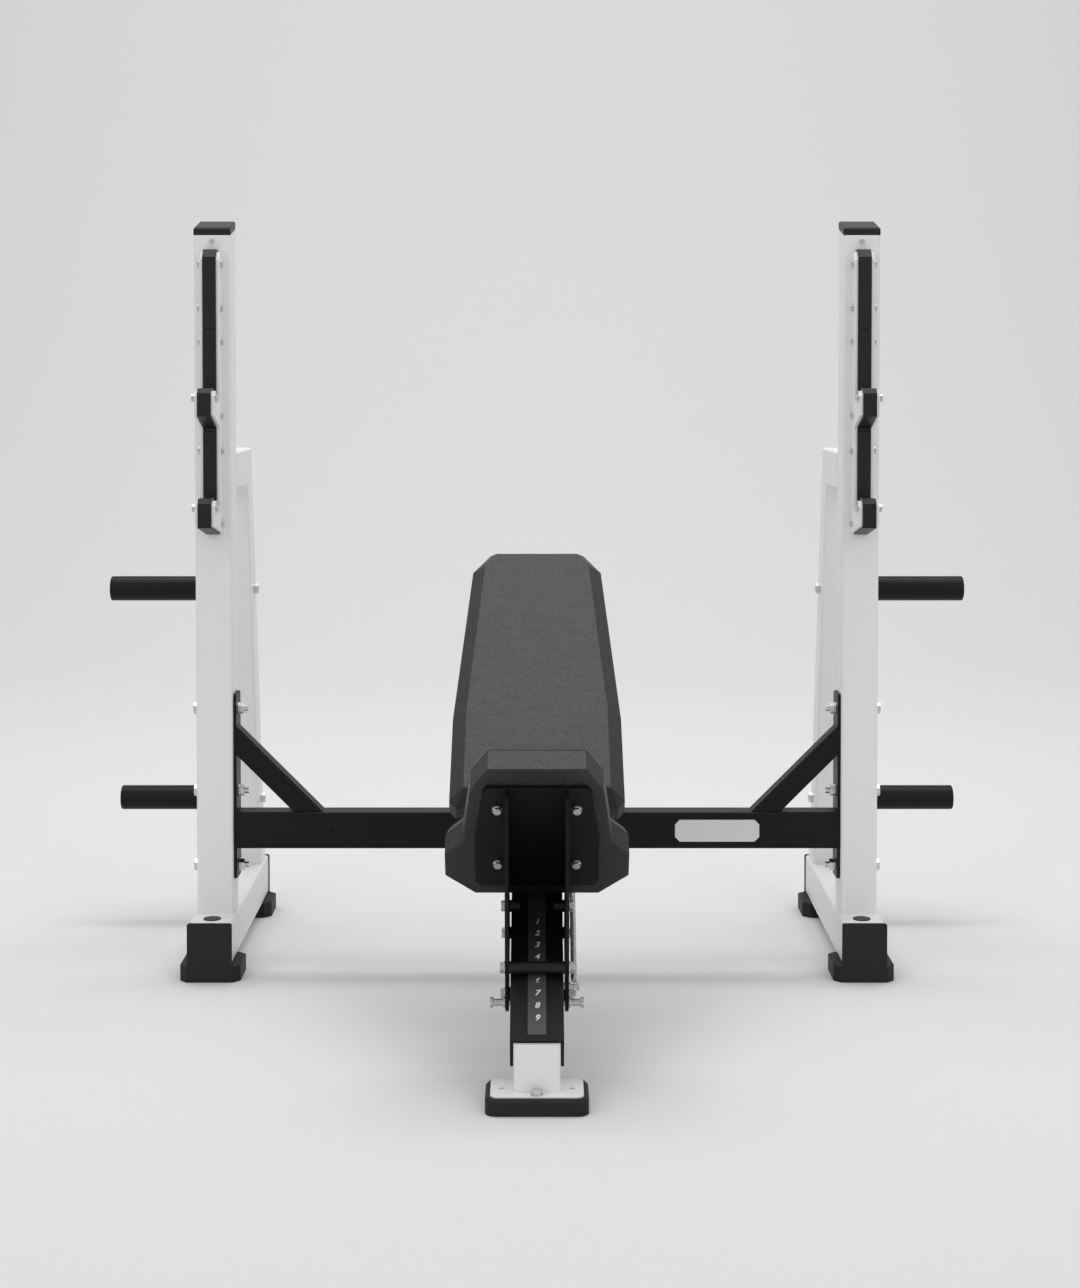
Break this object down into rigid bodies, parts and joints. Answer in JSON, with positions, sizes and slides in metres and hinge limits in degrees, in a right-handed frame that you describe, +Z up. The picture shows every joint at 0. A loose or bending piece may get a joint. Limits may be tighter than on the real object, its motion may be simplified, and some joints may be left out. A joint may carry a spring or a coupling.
{
  "type": "olympic incline bench press",
  "caption": "Incline barbell bench: two white racks with lined bar hooks and plate pegs, a black cross member, and an inclined rail with a padded back and a sliding seat.",
  "frame": {"origin": "on the floor, under the centre of the bench's overall box", "axes": "+X across the bench along the crossbar, towards the right-hand rack; +Y from the front leg to the back; +Z up"},
  "size_m": [1.746, 1.306, 1.4363],
  "materials": {
    "white_frame": "satin white powder coat",
    "black_frame": "fine matt black powder coat",
    "black_plastic": "smooth black polyethylene",
    "black_rubber": "matt moulded rubber",
    "upholstery": "grained charcoal vinyl over foam",
    "plywood": "black stained plywood",
    "zinc": "bright zinc plate",
    "silver_plate": "satin anodised plate, blank",
    "scale_film": "dark grey satin film with pale numerals"
  },
  "bodies": {
    "frame": {"left_foot_tube": "white_frame", "left_front_boot": "black_rubber", "left_rear_boot": "black_rubber", "left_upright": "white_frame", "left_upright_cap": "black_plastic", "left_top_tie": "white_frame", "left_rear_strut": "white_frame", "left_outer_hook_plate": "white_frame", "left_inner_hook_plate": "white_frame", "left_liner_top": "black_plastic", "left_liner_upper_hook": "black_plastic", "left_liner_lower_hook": "black_plastic", "left_upper_peg": "black_frame", "left_lower_peg": "black_frame", "left_flange": "black_frame", "left_gusset": "black_frame", "right_foot_tube": "white_frame", "right_front_boot": "black_rubber", "right_rear_boot": "black_rubber", "right_upright": "white_frame", "right_upright_cap": "black_plastic", "right_top_tie": "white_frame", "right_rear_strut": "white_frame", "right_outer_hook_plate": "white_frame", "right_inner_hook_plate": "white_frame", "right_liner_top": "black_plastic", "right_liner_upper_hook": "black_plastic", "right_liner_lower_hook": "black_plastic", "right_upper_peg": "black_frame", "right_lower_peg": "black_frame", "right_flange": "black_frame", "right_gusset": "black_frame", "foot_plugs": "black_plastic", "cap_screws": "zinc", "hook_bolts": "zinc", "frame_bolts": "zinc", "peg_bolts": "zinc", "cross_member": "black_frame", "badge": "silver_plate", "rail_post": "black_frame", "front_leg": "white_frame", "rail": "black_frame", "scale_strip": "scale_film", "base_plate": "white_frame", "base_pad": "black_rubber", "base_bolt": "zinc", "back_brackets": "black_frame", "back_board": "plywood", "back_pad": "upholstery", "back_bolts": "zinc", "rail_anchor": "zinc"},
    "seat": {"seat_carriage": "black_frame", "seat_glides": "black_plastic", "glide_bolts": "zinc", "seat_board": "plywood", "seat_pad": "upholstery", "seat_bolts": "zinc", "seat_spring": "zinc", "seat_anchor": "zinc"},
    "lock": {"lock_shaft": "zinc"}
  },
  "joints": [
    {"name": "seat_slide", "type": "slide", "parent": "frame", "child": "seat", "axis": [0, 0.8387, 0.5446], "range_m": [-0.1, 0.1], "deforming": ["seat_spring"]},
    {"name": "seat_lock", "type": "slide", "parent": "seat", "child": "lock", "axis": [0, -0.5446, 0.8387], "range_m": [0, 0.0125]}
  ]
}
